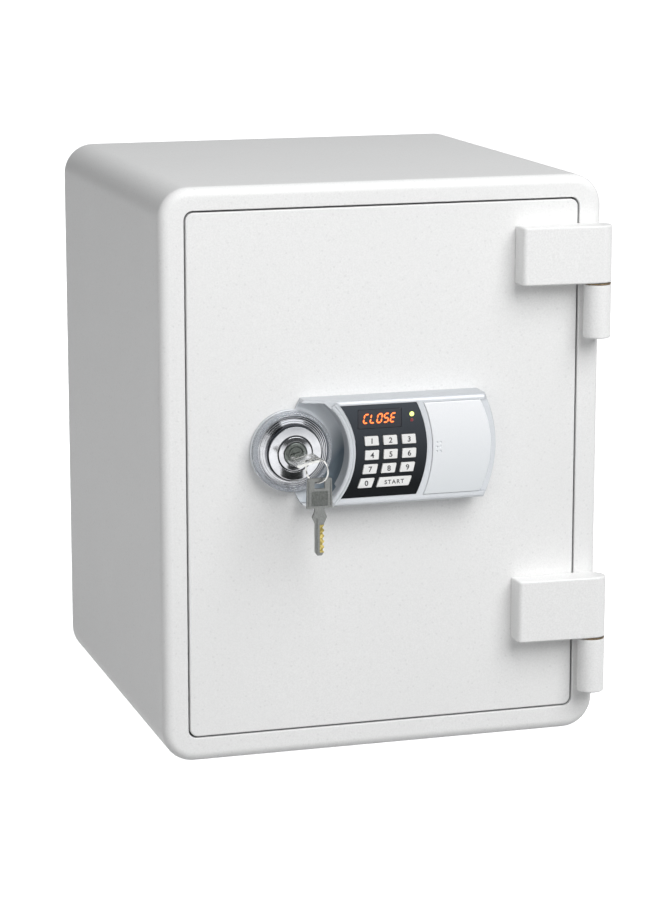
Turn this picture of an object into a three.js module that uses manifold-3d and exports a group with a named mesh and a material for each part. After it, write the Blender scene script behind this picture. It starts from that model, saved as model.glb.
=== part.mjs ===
// Fire-resistant document safe with a keypad lock and a key-locked knob.
// Millimetres, +Z up. The origin is the centre of the base, the door faces -Y,
// and its hinges are on the right as one faces it.
import * as THREE from 'three';
import { mergeVertices } from 'three/addons/utils/BufferGeometryUtils.js';
import Module from 'manifold-3d';

const wasm = await Module();
wasm.setup();

// Driving dimensions of the case.
const WIDTH = 404;
const DEPTH = 390;
const HEIGHT = 508;
const CASE_CORNER = 28;
const CASE_EDGE = 9;
const SKIN = 2.5;
const GAP = 0.3;

// The planes that everything is stacked on, from the front face to the back.
const FRONT = -DEPTH / 2;
const BACK = DEPTH / 2;
const DOOR_SKIN_BACK = FRONT + 10.7;
const DOOR_FLANGE_BACK = FRONT + 13;
const JAMB_STEP = FRONT + 16;
const MECHANISM_PLATE = FRONT + 37;
const COVER_FRONT = FRONT + 61.3;
const LEDGE = FRONT + 66;
const CAVITY_BACK = BACK - 62;

// Rectangles seen from the front: the case, its opening, the door and its plug.
const CASE = { x0: -WIDTH / 2, x1: WIDTH / 2, z0: 0, z1: HEIGHT };
const OPENING = { x0: -180.1, x1: 180.1, z0: 22, z1: 488 };
const DOOR_CLEARANCE = 1.6;
const DOOR_CORNER = 7;
const DOOR = inset(OPENING, DOOR_CLEARANCE);
const PLUG = inset(DOOR, 20.5);
const JAMB = inset(PLUG, -9);
const CAVITY = { x0: -143, x1: 143, z0: 59, z1: 449 };
const PLUG_CORNER = 10;

// Lock: the knob's axis, the housing's centre line and the keypad's grid.
const KNOB_X = -87.6;
const KNOB_Z = 276.6;
const HOUSING_Z = 275;
const KEY_TILT = 12;
const KEY_ROWS = [285.2, 272.7, 260.3, 248.1];
const KEY_COLUMNS = [-20, -3, 14];
const KEY_WIDTH = 12.6;
const KEY_HEIGHT = 8.3;

// Bolt work inside the door.
const BOLT_HEIGHTS = { lower: 150, upper: 403 };
const BRACKET_HEIGHTS = { lower: 205, upper: 348 };
const BOLT_Y = FRONT + 49;
const BOLT_RADIUS = 9;
const DEAD_BOLT_RADIUS = 7;
const CAM_FRONT = FRONT + 39.8;
const CAM_BACK = FRONT + 44.8;
const CAM_RADIUS = 20;
const CRANK = 12.73;
const CABLE_X = 20;

// Hinges: the axis stands in front of the case, near its right edge.
const HINGE_X = 193;
const HINGE_Y = FRONT - 13;
const HINGE_RADIUS = 12.2;
const HINGE_PIN_RADIUS = 5;
const HINGES = {
  upper: { knuckle: [364, 411.7], leaf: [413.7, 465] },
  lower: { knuckle: [39, 88.6], leaf: [90.6, 147] },
};

// Key, key ring and the spare key that hangs from it.
const KEY_THICKNESS = 2.4;
const RING_CENTRE = new THREE.Vector3(-80.6, FRONT - 61.4, 270);
const RING_RADIUS = 11;
const RING_WIRE = 0.9;
const RING_TURN = -45;

const group = new THREE.Group();

// ---------------------------------------------------------------- materials

function material(color, roughness, metalness, extra = {}) {
  return new THREE.MeshStandardMaterial({ color, roughness, metalness, ...extra });
}

const WHITE_PAINT = material(0xe9e9e8, 0.55, 0.0);
const GREY_PAINT = material(0xc9cacb, 0.6, 0.0);
const CEMENT = material(0xb9b5aa, 0.95, 0.0);
const RUBBER = material(0x2a2a2b, 0.9, 0.0);
const BRASS = material(0xa88a4c, 0.35, 0.9);
const STEEL = material(0x9b9ea1, 0.35, 1.0);
const CHROME = material(0xe4e7ea, 0.08, 1.0);
const SILVER_PLASTIC = material(0xbfc4ca, 0.35, 0.2);
const CLEAR_PLASTIC = material(0xc6ccd0, 0.12, 0.0, { transparent: true, opacity: 0.75 });
const BLACK_PLASTIC = material(0x1d1f22, 0.3, 0.0);
const WHITE_PLASTIC = material(0xebebeb, 0.45, 0.0);
const RED_WINDOW = material(0x3a0705, 0.15, 0.0);
const GREEN_LAMP = material(0xb9d13c, 0.2, 0.0);
const CIRCUIT = material(0x1f5a38, 0.5, 0.0);
const CELL = material(0x31485f, 0.35, 0.3);
const NICKEL = material(0xa7a9a6, 0.25, 1.0);

// ------------------------------------------------------------ shape helpers

function inset(r, d) {
  return { x0: r.x0 + d, x1: r.x1 - d, z0: r.z0 + d, z1: r.z1 - d };
}

function arc(cx, cy, radius, from, to, steps) {
  const points = [];
  for (let i = 0; i <= steps; i++) {
    const angle = THREE.MathUtils.degToRad(from + ((to - from) * i) / steps);
    points.push([cx + radius * Math.cos(angle), cy + radius * Math.sin(angle)]);
  }
  return points;
}

// The points of a bow from one end of a side to the other, standing out by sagitta.
function bulge(xEnd, zFrom, zTo, sagitta, steps = 8) {
  const points = [];
  for (let i = 0; i <= steps; i++) {
    const t = i / steps;
    points.push([xEnd + 4 * sagitta * t * (1 - t), zFrom + (zTo - zFrom) * t]);
  }
  return points;
}

function roundedRectangle(r, radius, steps = 4) {
  return [
    ...arc(r.x1 - radius, r.z0 + radius, radius, -90, 0, steps),
    ...arc(r.x1 - radius, r.z1 - radius, radius, 0, 90, steps),
    ...arc(r.x0 + radius, r.z1 - radius, radius, 90, 180, steps),
    ...arc(r.x0 + radius, r.z0 + radius, radius, 180, 270, steps),
  ];
}

// A closed mesh as a solid: shared vertices are merged and collapsed triangles dropped.
function solid(geometry) {
  geometry.deleteAttribute('normal');
  geometry.deleteAttribute('uv');
  const merged = mergeVertices(geometry, 1e-4);
  const index = Array.from(merged.index.array);
  const kept = [];
  for (let i = 0; i < index.length; i += 3) {
    const [a, b, c] = [index[i], index[i + 1], index[i + 2]];
    if (a !== b && b !== c && c !== a) {
      kept.push(a, b, c);
    }
  }
  return new wasm.Manifold(new wasm.Mesh({
    numProp: 3,
    vertProperties: new Float32Array(merged.attributes.position.array),
    triVerts: new Uint32Array(kept),
  }));
}

function extruded(outline, depth, bevel, bevelSegments) {
  const shape = new THREE.Shape(outline.map(([x, y]) => new THREE.Vector2(x, y)));
  return new THREE.ExtrudeGeometry(shape, {
    depth: depth - 2 * bevel,
    bevelEnabled: bevel > 0,
    bevelThickness: bevel,
    bevelSize: bevel,
    bevelOffset: -bevel,
    bevelSegments,
  });
}

// An X-Z outline, as thick as the stretch between two planes across Y.
function platePrism(outline, yBack, yFront, bevel = 0, bevelSegments = 2) {
  const geometry = extruded(outline, yBack - yFront, bevel, bevelSegments);
  geometry.rotateX(Math.PI / 2);
  geometry.translate(0, yBack - bevel, 0);
  return solid(geometry);
}

// An X-Y outline standing between two heights.
function columnPrism(outline, zLow, zHigh, bevel = 0, bevelSegments = 2) {
  const geometry = extruded(outline, zHigh - zLow, bevel, bevelSegments);
  geometry.translate(0, 0, zLow + bevel);
  return solid(geometry);
}

function block(x0, x1, y0, y1, z0, z1) {
  const geometry = new THREE.BoxGeometry(x1 - x0, y1 - y0, z1 - z0);
  geometry.translate((x0 + x1) / 2, (y0 + y1) / 2, (z0 + z1) / 2);
  return solid(geometry);
}

// A round bar along one axis, between two values on that axis.
function bar(axis, from, to, centre, radius, segments = 20) {
  const geometry = new THREE.CylinderGeometry(radius, radius, to - from, segments);
  const middle = (from + to) / 2;
  if (axis === 'x') {
    geometry.rotateZ(Math.PI / 2);
    geometry.translate(middle, centre[0], centre[1]);
  } else if (axis === 'y') {
    geometry.translate(centre[0], middle, centre[1]);
  } else {
    geometry.rotateX(Math.PI / 2);
    geometry.translate(centre[0], centre[1], middle);
  }
  return solid(geometry);
}

// A turned piece round the knob's axis, from [radius, distance in front of the door] pairs
// that run round its section, forwards along the outside and back along the inside.
function turned(profile, segments = 40) {
  const points = profile.map(([radius, ahead]) => new THREE.Vector2(radius, FRONT - ahead));
  points.reverse();
  const geometry = new THREE.LatheGeometry(points, segments);
  geometry.translate(KNOB_X, 0, KNOB_Z);
  return solid(geometry);
}

function tiltAboutKnob(geometry, degrees) {
  geometry.translate(-KNOB_X, 0, -KNOB_Z);
  geometry.rotateY(THREE.MathUtils.degToRad(degrees));
  geometry.translate(KNOB_X, 0, KNOB_Z);
  return geometry;
}

function add(name, body, look) {
  const mesh = body.getMesh();
  const geometry = new THREE.BufferGeometry();
  geometry.setAttribute('position', new THREE.BufferAttribute(mesh.vertProperties, 3));
  geometry.setIndex(new THREE.BufferAttribute(mesh.triVerts, 1));
  geometry.computeVertexNormals();
  const piece = new THREE.Mesh(geometry, look);
  piece.name = name;
  group.add(piece);
}

// --------------------------------------------------------------------- case

const BACK_OPENING = inset(CASE, 20);
const BACK_PANEL_THICKNESS = 2;
const LINER = 2;
const FILL_CORNER = 2;

function bodyShell() {
  const inner = inset(CASE, SKIN);
  return platePrism(roundedRectangle(CASE, CASE_CORNER, 6), BACK, FRONT, CASE_EDGE, 3)
    .subtract(platePrism(roundedRectangle(inner, CASE_CORNER - SKIN, 6),
      BACK - SKIN, FRONT + SKIN, CASE_EDGE - 2, 3))
    .subtract(platePrism(roundedRectangle(OPENING, DOOR_CORNER + 1), FRONT + 20, FRONT - 10))
    .subtract(platePrism(roundedRectangle(BACK_OPENING, 14), BACK + 10, BACK - 20));
}

function backPanel() {
  const front = BACK - SKIN - GAP - BACK_PANEL_THICKNESS;
  return platePrism(roundedRectangle(inset(CASE, 10), 20), front + BACK_PANEL_THICKNESS, front);
}

function boltPockets() {
  const depth = 13;
  let pockets = null;
  for (const height of Object.values(BOLT_HEIGHTS)) {
    const left = bar('x', JAMB.x0 - depth, JAMB.x0 + 5, [BOLT_Y, height], BOLT_RADIUS + 2);
    const right = block(JAMB.x1 - 5, JAMB.x1 + depth, BOLT_Y - 13, BOLT_Y + 10,
      height - 10, height + 10);
    const pair = left.add(right);
    pockets = pockets ? pockets.add(pair) : pair;
  }
  return pockets;
}

function bodyInsulation() {
  const margin = SKIN + GAP;
  const panelFront = BACK - SKIN - 2 * GAP - BACK_PANEL_THICKNESS;
  const clearance = LINER + GAP;
  const hollow = (rectangle, yBack) =>
    platePrism(roundedRectangle(inset(rectangle, -clearance), FILL_CORNER, 1), yBack, FRONT - 5);
  return platePrism(roundedRectangle(inset(CASE, margin), CASE_CORNER - margin, 2),
    panelFront, FRONT + margin, CASE_EDGE - margin + 1, 1)
    .subtract(hollow(OPENING, JAMB_STEP + LINER + GAP))
    .subtract(hollow(JAMB, LEDGE + LINER + GAP))
    .subtract(hollow(CAVITY, CAVITY_BACK + LINER + GAP))
    .subtract(boltPockets());
}

// The steel frame that lines the opening: wide in front, then a step and a narrower throat.
function doorJamb() {
  let jamb = platePrism(roundedRectangle(inset(OPENING, -LINER), DOOR_CORNER + 1 + LINER),
    JAMB_STEP + LINER,
    FRONT + SKIN + GAP)
    .add(platePrism(roundedRectangle(inset(JAMB, -LINER), 12), LEDGE - GAP, JAMB_STEP))
    .subtract(platePrism(roundedRectangle(OPENING, DOOR_CORNER + 1), JAMB_STEP, FRONT - 5))
    .subtract(platePrism(roundedRectangle(JAMB, PLUG_CORNER), LEDGE + 5, FRONT - 5));
  for (const height of Object.values(BOLT_HEIGHTS)) {
    jamb = jamb
      .subtract(bar('x', JAMB.x0 - 6, JAMB.x0 + 6, [BOLT_Y, height], BOLT_RADIUS + 0.8))
      .subtract(block(JAMB.x1 - 6, JAMB.x1 + 6, BOLT_Y - 11.5, BOLT_Y + 8.5,
        height - 8.5, height + 8.5));
  }
  return jamb;
}

const SHELF_RIB = { z0: 250, z1: 253, reach: 6, front: -115, back: 125 };
const SHELF = { front: -118, back: 130, thickness: 1.5, lipDrop: 14, lipInset: 8, sideGap: 0.8 };

function innerLiner() {
  const { z0, z1, reach, front, back } = SHELF_RIB;
  return platePrism(roundedRectangle(inset(CAVITY, -LINER), 8), CAVITY_BACK + LINER, LEDGE)
    .add(platePrism(roundedRectangle(inset(JAMB, -LINER), 12), LEDGE + LINER, LEDGE))
    .subtract(platePrism(roundedRectangle(CAVITY, 6), CAVITY_BACK, LEDGE - 10))
    .add(block(CAVITY.x0 - 1, CAVITY.x0 + reach, front, back, z0, z1))
    .add(block(CAVITY.x1 - reach, CAVITY.x1 + 1, front, back, z0, z1));
}

function shelf() {
  const { front, back, thickness, lipDrop, lipInset, sideGap } = SHELF;
  const z = SHELF_RIB.z1 + GAP;
  const edge = CAVITY.x1 - sideGap;
  return block(-edge, edge, front, back, z, z + thickness)
    .add(block(-edge + lipInset, edge - lipInset, front, front + thickness, z - lipDrop,
      z + thickness / 2));
}

function doorSeal() {
  const outer = inset(OPENING, DOOR_CLEARANCE + 1);
  const inner = inset(JAMB, -2);
  return platePrism(roundedRectangle(outer, 10), JAMB_STEP - GAP, DOOR_FLANGE_BACK + 0.4)
    .subtract(platePrism(roundedRectangle(inner, PLUG_CORNER), JAMB_STEP + 1, DOOR_FLANGE_BACK - 1));
}

// ------------------------------------------------------------------- hinges

function hingeKnuckle({ knuckle }) {
  const face = FRONT - GAP;
  const outline = [
    ...arc(HINGE_X, HINGE_Y, HINGE_RADIUS, 180, 360, 10),
    [HINGE_X + 9, face - 3],
    [HINGE_X + 7, face],
    [HINGE_X - HINGE_RADIUS, face],
  ];
  const [low, high] = knuckle;
  return columnPrism(outline, low, high, 1.2, 1)
    .subtract(bar('z', low + 4, high + 1, [HINGE_X, HINGE_Y], HINGE_PIN_RADIUS + GAP));
}

function hingeLeaf({ leaf }) {
  const face = FRONT - GAP;
  const leafEnd = 120;
  const leafThickness = 21.5;
  const corner = 8;
  const outline = [
    [leafEnd, face],
    ...arc(leafEnd + corner, FRONT - leafThickness + corner, corner, 180, 270, 4),
    ...arc(HINGE_X, HINGE_Y, HINGE_RADIUS, -90, 75, 8),
    [HINGE_X, face],
  ];
  const [low, high] = leaf;
  return columnPrism(outline, low, high, 3, 2)
    .subtract(bar('z', low - 1, high - 5, [HINGE_X, HINGE_Y], HINGE_PIN_RADIUS + GAP));
}

function hingePin({ knuckle, leaf }) {
  return bar('z', knuckle[0] + 4.5, leaf[1] - 5.5, [HINGE_X, HINGE_Y], HINGE_PIN_RADIUS, 16);
}

function hingeWasher({ knuckle, leaf }) {
  const [low, high] = [knuckle[1] + GAP, leaf[0] - GAP];
  return bar('z', low, high, [HINGE_X, HINGE_Y], HINGE_RADIUS - 0.3, 24)
    .subtract(bar('z', low - 1, high + 1, [HINGE_X, HINGE_Y], HINGE_PIN_RADIUS + GAP));
}

// --------------------------------------------------------------------- door

const SPINDLE_BORE = 9.2;
const CABLE_BORE = 5;

function doorBores(yBack, yFront) {
  return bar('y', yFront, yBack, [KNOB_X, KNOB_Z], SPINDLE_BORE)
    .add(bar('y', yFront, yBack, [CABLE_X, HOUSING_Z], CABLE_BORE, 12));
}

function doorOuterPanel() {
  return platePrism(roundedRectangle(DOOR, DOOR_CORNER), DOOR_SKIN_BACK, FRONT, 1, 1)
    .subtract(platePrism(roundedRectangle(inset(DOOR, 2), DOOR_CORNER - 2),
      DOOR_SKIN_BACK + 5, FRONT + 2))
    .subtract(doorBores(FRONT + 5, FRONT - 5));
}

function doorBackFrame() {
  let frame = platePrism(roundedRectangle(DOOR, DOOR_CORNER), DOOR_FLANGE_BACK,
    DOOR_SKIN_BACK + GAP)
    .add(platePrism(roundedRectangle(PLUG, PLUG_CORNER), COVER_FRONT - GAP, DOOR_SKIN_BACK + GAP))
    .subtract(platePrism(roundedRectangle(inset(PLUG, 2), PLUG_CORNER - 2),
      COVER_FRONT + 5, FRONT));
  for (const height of Object.values(BOLT_HEIGHTS)) {
    frame = frame
      .subtract(bar('x', PLUG.x0 - 5, PLUG.x0 + 5, [BOLT_Y, height], BOLT_RADIUS + 0.5))
      .subtract(bar('x', PLUG.x1 - 5, PLUG.x1 + 5, [BOLT_Y, height], DEAD_BOLT_RADIUS + 0.3));
  }
  return frame;
}

function doorInsulation() {
  return platePrism(roundedRectangle(inset(DOOR, 2 + GAP), DOOR_CORNER - 2), DOOR_SKIN_BACK,
    FRONT + 2 + GAP)
    .add(platePrism(roundedRectangle(inset(PLUG, 2 + GAP), PLUG_CORNER - 2),
      MECHANISM_PLATE - GAP, FRONT + 2 + GAP))
    .subtract(doorBores(MECHANISM_PLATE + 5, FRONT - 5));
}

function mechanismPlate() {
  return platePrism(roundedRectangle(inset(PLUG, 2 + GAP), PLUG_CORNER - 2), MECHANISM_PLATE + 2,
    MECHANISM_PLATE)
    .subtract(doorBores(MECHANISM_PLATE + 5, MECHANISM_PLATE - 5));
}

function innerCover() {
  return platePrism(roundedRectangle(PLUG, PLUG_CORNER), COVER_FRONT + 2, COVER_FRONT)
    .add(platePrism(roundedRectangle(inset(PLUG, 14), 8), COVER_FRONT + 3, COVER_FRONT + 1, 0.8, 1));
}

// ---------------------------------------------------------------- bolt work

const CARRIAGE_FRONT = CAM_BACK + 0.6;
const CARRIAGE_BACK = CARRIAGE_FRONT + 3.5;
const CARRIAGE = { x0: -126, x1: -110, z0: 125, z1: 428 };
const CRANK_PIN_RADIUS = 3;
const CRANK_SLOT_HALF = 3.8;

// A flat bar with a slotted lug that the cam's crank pin drives sideways.
function boltCarriage() {
  const slotX = KNOB_X + CRANK * Math.SQRT1_2;
  const slotZ = KNOB_Z + CRANK * Math.SQRT1_2;
  return block(CARRIAGE.x0, CARRIAGE.x1, CARRIAGE_FRONT, CARRIAGE_BACK, CARRIAGE.z0, CARRIAGE.z1)
    .add(block(CARRIAGE.x1 - 1, slotX + 9, CARRIAGE_FRONT, CARRIAGE_BACK, KNOB_Z + 1, KNOB_Z + 21))
    .subtract(block(slotX - CRANK_SLOT_HALF, slotX + CRANK_SLOT_HALF,
      CARRIAGE_FRONT - 1, CARRIAGE_BACK + 1,
      slotZ - 4, KNOB_Z + CRANK + 4));
}

// A live bolt: a round bar whose slotted tail grips the carriage.
function liveBolt(height) {
  const tail = CARRIAGE.x1 - 3;
  return bar('x', PLUG.x0 + 0.2, tail, [BOLT_Y, height], BOLT_RADIUS)
    .subtract(block(CARRIAGE.x0 - GAP, tail + 1, CARRIAGE_FRONT - GAP, CARRIAGE_BACK + GAP,
      height - 12, height + 12));
}

function deadBolt(height) {
  const foot = MECHANISM_PLATE + 2 + GAP;
  return bar('x', 136, PLUG.x1 + 14, [BOLT_Y, height], DEAD_BOLT_RADIUS)
    .add(block(130, 150, foot, BOLT_Y + 7.5, height - 12, height + 12));
}

function guideBracket(height) {
  const foot = MECHANISM_PLATE + 2 + GAP;
  return block(-151, -103, foot, CARRIAGE_BACK + 3.6, height - 8, height + 8)
    .subtract(block(-146.5, -107.5, CARRIAGE_FRONT - 0.6, CARRIAGE_BACK + 0.6,
      height - 9, height + 9));
}

const SOLENOID = { x0: -60, x1: -26, z0: KNOB_Z - 10.5, z1: KNOB_Z + 10.5 };
const PIN_RADIUS = 2;
const PIN_Y = FRONT + 42.8;

function solenoidBody() {
  const foot = MECHANISM_PLATE + 2 + GAP;
  return block(SOLENOID.x0, SOLENOID.x1, foot, foot + 16, SOLENOID.z0, SOLENOID.z1)
    .subtract(bar('x', SOLENOID.x0 - 1, SOLENOID.x0 + 18, [PIN_Y, KNOB_Z], PIN_RADIUS + 0.4, 12));
}

function solenoidPin() {
  return bar('x', KNOB_X + CAM_RADIUS + 1.2, SOLENOID.x0 + 15, [PIN_Y, KNOB_Z], PIN_RADIUS, 12);
}

function signalCable() {
  const start = FRONT - 11.5;
  const end = MECHANISM_PLATE + 9;
  const route = new THREE.CatmullRomCurve3([
    new THREE.Vector3(CABLE_X, start, HOUSING_Z),
    new THREE.Vector3(CABLE_X, FRONT + 12, HOUSING_Z),
    new THREE.Vector3(CABLE_X, MECHANISM_PLATE - 2, HOUSING_Z),
    new THREE.Vector3(CABLE_X - 5, end - 1, HOUSING_Z),
    new THREE.Vector3(CABLE_X - 15, end, HOUSING_Z),
    new THREE.Vector3(SOLENOID.x1 + 0.5, end, HOUSING_Z),
  ]);
  const section = new THREE.Shape(arc(0, 0, 1.6, 0, 315, 7).map(([x, y]) => new THREE.Vector2(x, y)));
  return solid(new THREE.ExtrudeGeometry(section, { steps: 30, extrudePath: route }));
}

// ------------------------------------------------------- lock housing and keypad

const HOUSING_HEIGHT = 25;
const HOUSING_BACK = { halfHeight: 47, left: -78, right: 85, leftBulge: -13, rightBulge: 11 };
const COVER_SEAT = 23;

// The dish round the knob: its rim is wider than its floor and lies further from the hinges.
const DISH = { floor: 2.5, floorRadius: 37, rimX: -98.5, rimRadius: 57.7 };
const BOARD = { x0: -34, x1: 24, z0: 239, z1: 312 };

// The panel's sides are bowed like the keypad's columns.
const FASCIA = { left: -48.6, right: 20.6, z0: 235.5, z1: 317, leftBulge: 14.6, rightBulge: 10 };
const COVER = { left: 27.4, right: 79.5, z0: 234.5, z1: 316.2, leftBulge: 8.6, rightBulge: 10.4 };

const BATTERY_BAY = { left: 35, right: 76, z0: 244, z1: 306, leftBulge: 5, rightBulge: 5 };

function bowedPanel(panel, margin = 0) {
  const { left, right, z0, z1, leftBulge, rightBulge } = panel;
  return [
    ...bulge(right + margin, z0 - margin, z1 + margin, rightBulge),
    ...bulge(left - margin, z1 + margin, z0 - margin, leftBulge),
  ];
}

function dishHollow() {
  const { floor, floorRadius, rimX, rimRadius } = DISH;
  const top = HOUSING_HEIGHT + 2;
  const hollow = turned([[0, -5], [floorRadius, -5], [floorRadius, floor],
    [rimRadius, HOUSING_HEIGHT], [rimRadius, top], [0, top]], 48);
  return hollow.warp((point) => {
    const ahead = FRONT - point[1];
    const share = Math.min(1, Math.max(0, (ahead - floor) / (HOUSING_HEIGHT - floor)));
    point[0] += share * (rimX - KNOB_X);
    point[2] += share * (HOUSING_Z - KNOB_Z);
  });
}

function lockHousing() {
  const { halfHeight, left, right, leftBulge, rightBulge } = HOUSING_BACK;
  const outline = [
    ...bulge(right, HOUSING_Z - halfHeight, HOUSING_Z + halfHeight, rightBulge),
    ...bulge(left, HOUSING_Z + halfHeight, HOUSING_Z - halfHeight, leftBulge),
  ];
  const ramp = [[-110, FRONT - 30], [-110, FRONT - 8], [-80, FRONT - 10],
    [-48, FRONT - HOUSING_HEIGHT], [-48, FRONT - 30]];
  const interior = { x0: -36, x1: 81, z0: 236, z1: 314 };
  const coverPath = [
    ...bulge(COVER.left - GAP, COVER.z1 + GAP, COVER.z0 - GAP, COVER.leftBulge),
    [120, COVER.z0 - GAP],
    [120, COVER.z1 + GAP],
  ];
  return platePrism(outline, FRONT + 10, FRONT - HOUSING_HEIGHT, 5, 2)
    .subtract(platePrism(roundedRectangle(inset(CASE, -5), 5), FRONT + 20, FRONT - GAP))
    .subtract(columnPrism(ramp, 200, 350))
    .subtract(dishHollow())
    .subtract(platePrism(roundedRectangle(interior, 6), FRONT + 5, FRONT - 20.5))
    .subtract(platePrism(bowedPanel(FASCIA, GAP), FRONT - 23.5, FRONT - 30))
    .subtract(block(-35, 22, FRONT - 30, FRONT - 15, 240, 312))
    .subtract(platePrism(coverPath, FRONT - COVER_SEAT, FRONT - 30))
    .subtract(platePrism(bowedPanel(BATTERY_BAY), FRONT - 15, FRONT - 30));
}

// Keypad columns lean with the panel's bowed sides: the shift at a given height.
function lean(z) {
  const bend = 0.0065;
  const straightAt = 277;
  return -bend * (z - straightAt) ** 2;
}

function keyOutline(centreX, centreZ, width, margin = 0) {
  const halfWidth = width / 2 + margin;
  const z0 = centreZ - KEY_HEIGHT / 2 - margin;
  const z1 = centreZ + KEY_HEIGHT / 2 + margin;
  return [
    [centreX - halfWidth + lean(z0), z0],
    [centreX + halfWidth + lean(z0), z0],
    [centreX + halfWidth + lean(z1), z1],
    [centreX - halfWidth + lean(z1), z1],
  ];
}

const START_WIDTH = KEY_COLUMNS[2] - KEY_COLUMNS[1] + KEY_WIDTH;
const KEYPAD = [
  ...[1, 2, 3, 4, 5, 6, 7, 8, 9].map((digit) => ({
    name: `button_${digit}`,
    x: KEY_COLUMNS[(digit - 1) % 3],
    z: KEY_ROWS[Math.floor((digit - 1) / 3)],
    width: KEY_WIDTH,
  })),
  { name: 'button_0', x: KEY_COLUMNS[0], z: KEY_ROWS[3], width: KEY_WIDTH },
  { name: 'button_start', x: (KEY_COLUMNS[1] + KEY_COLUMNS[2]) / 2, z: KEY_ROWS[3], width: START_WIDTH },
];
const FASCIA_FRONT = FRONT - 25.6;
const FASCIA_THICKNESS = 1.8;
const BUTTON_FRONT = FRONT - 27;
const BUTTON_THICKNESS = 5;

const WINDOW = { x0: -33, x1: 7, z0: 296, z1: 313 };
const LAMP = { x: 16.3, z: 307, radius: 1.9 };

function controlFascia() {
  let fascia = platePrism(bowedPanel(FASCIA), FASCIA_FRONT + FASCIA_THICKNESS, FASCIA_FRONT);
  const back = FASCIA_FRONT + 5;
  const front = FASCIA_FRONT - 5;
  for (const { x, z, width } of KEYPAD) {
    fascia = fascia.subtract(platePrism(keyOutline(x, z, width, 0.35), back, front));
  }
  return fascia.subtract(bar('y', front, back, [LAMP.x, LAMP.z], LAMP.radius + GAP, 12))
    .subtract(platePrism(roundedRectangle(WINDOW, 1, 1), back, front));
}

function displayWindow() {
  return platePrism(roundedRectangle(inset(WINDOW, GAP), 1, 1), FASCIA_FRONT + FASCIA_THICKNESS,
    FASCIA_FRONT + 0.1);
}

function indicatorLamp() {
  return bar('y', FASCIA_FRONT - 0.6, FASCIA_FRONT + 4, [LAMP.x, LAMP.z], LAMP.radius, 12);
}

function button({ x, z, width }) {
  return platePrism(keyOutline(x, z, width), BUTTON_FRONT + BUTTON_THICKNESS, BUTTON_FRONT, 0.4, 1);
}

function circuitBoard() {
  return block(BOARD.x0, BOARD.x1, FRONT - 14, FRONT - 12.4, BOARD.z0, BOARD.z1);
}

function battery(index) {
  const cellRadius = 7.25;
  const pitch = 15.2;
  const z = HOUSING_Z + (index - 1.5) * pitch;
  const y = FRONT - 12.5;
  return bar('x', 28.5, 77.3, [y, z], cellRadius, 18)
    .add(bar('x', 77, 78.6, [y, z], 2.6, 10));
}

function batteryCover() {
  return platePrism(bowedPanel(COVER), FRONT - COVER_SEAT - GAP, FRONT - 26, 0.7, 1);
}

// --------------------------------------------------------------------- knob

function knobFlange() {
  return turned([[20, 0.3], [36, 0.3], [36, 2.2], [35, 3], [20, 3], [20, 0.3]]);
}

function knobGrip() {
  return turned([[32.1, 3.6], [34.6, 3.6], [35.4, 5], [35.4, 11.8], [34.2, 13.6], [32.6, 14],
    [32.1, 13.6], [32.1, 3.6]]);
}

function knobBezel() {
  return turned([[10.4, 4.2], [31.8, 4.2], [31.8, 13.6], [30.6, 14.2], [27.5, 13.4], [24.8, 15.6],
    [23.6, 19], [15.8, 19.4], [15.4, 20.3], [10.4, 20.8], [10.4, 4.2]]);
}

function lockCylinder() {
  return turned([[6.8, 4.2], [10.1, 4.2], [10.1, 21.4], [9.4, 22], [6.8, 22], [6.8, 4.2]], 32);
}

// The spindle is hollow where the plug reaches into it, and carries the cam at its end.
function knobSpindle() {
  const cup = FRONT - CAM_FRONT;
  const end = FRONT - CAM_BACK;
  let spindle = turned([[0, end], [CAM_RADIUS, end], [CAM_RADIUS, cup], [6, cup], [6, -11],
    [8.8, -11], [8.8, 3.9], [6.9, 3.9], [6.9, -9], [0, -9]]);
  const crankX = KNOB_X + CRANK * Math.SQRT1_2;
  const crankZ = KNOB_Z + CRANK * Math.SQRT1_2;
  const notch = 3.2;
  const notchFloor = 14.5;
  const past = CAM_RADIUS + 5;
  spindle = spindle
    .add(bar('y', CAM_BACK - 1, CARRIAGE_BACK + 1, [crankX, crankZ], CRANK_PIN_RADIUS, 14))
    .subtract(block(KNOB_X + notchFloor, KNOB_X + past, CAM_FRONT - 1, CAM_BACK + GAP,
      KNOB_Z - notch, KNOB_Z + notch))
    .subtract(block(KNOB_X - notch, KNOB_X + notch, CAM_FRONT - 1, CAM_BACK + GAP,
      KNOB_Z - past, KNOB_Z - notchFloor));
  return spindle;
}

// --------------------------------------------------------------------- keys

const KEY_PROFILE = { blade: 28, neck: 13.5, bow: 26.5, rail: 3.2, hole: 6, holeHalf: 4.6 };
const KEY_LENGTH = KEY_PROFILE.blade + KEY_PROFILE.neck + KEY_PROFILE.bow;

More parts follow.
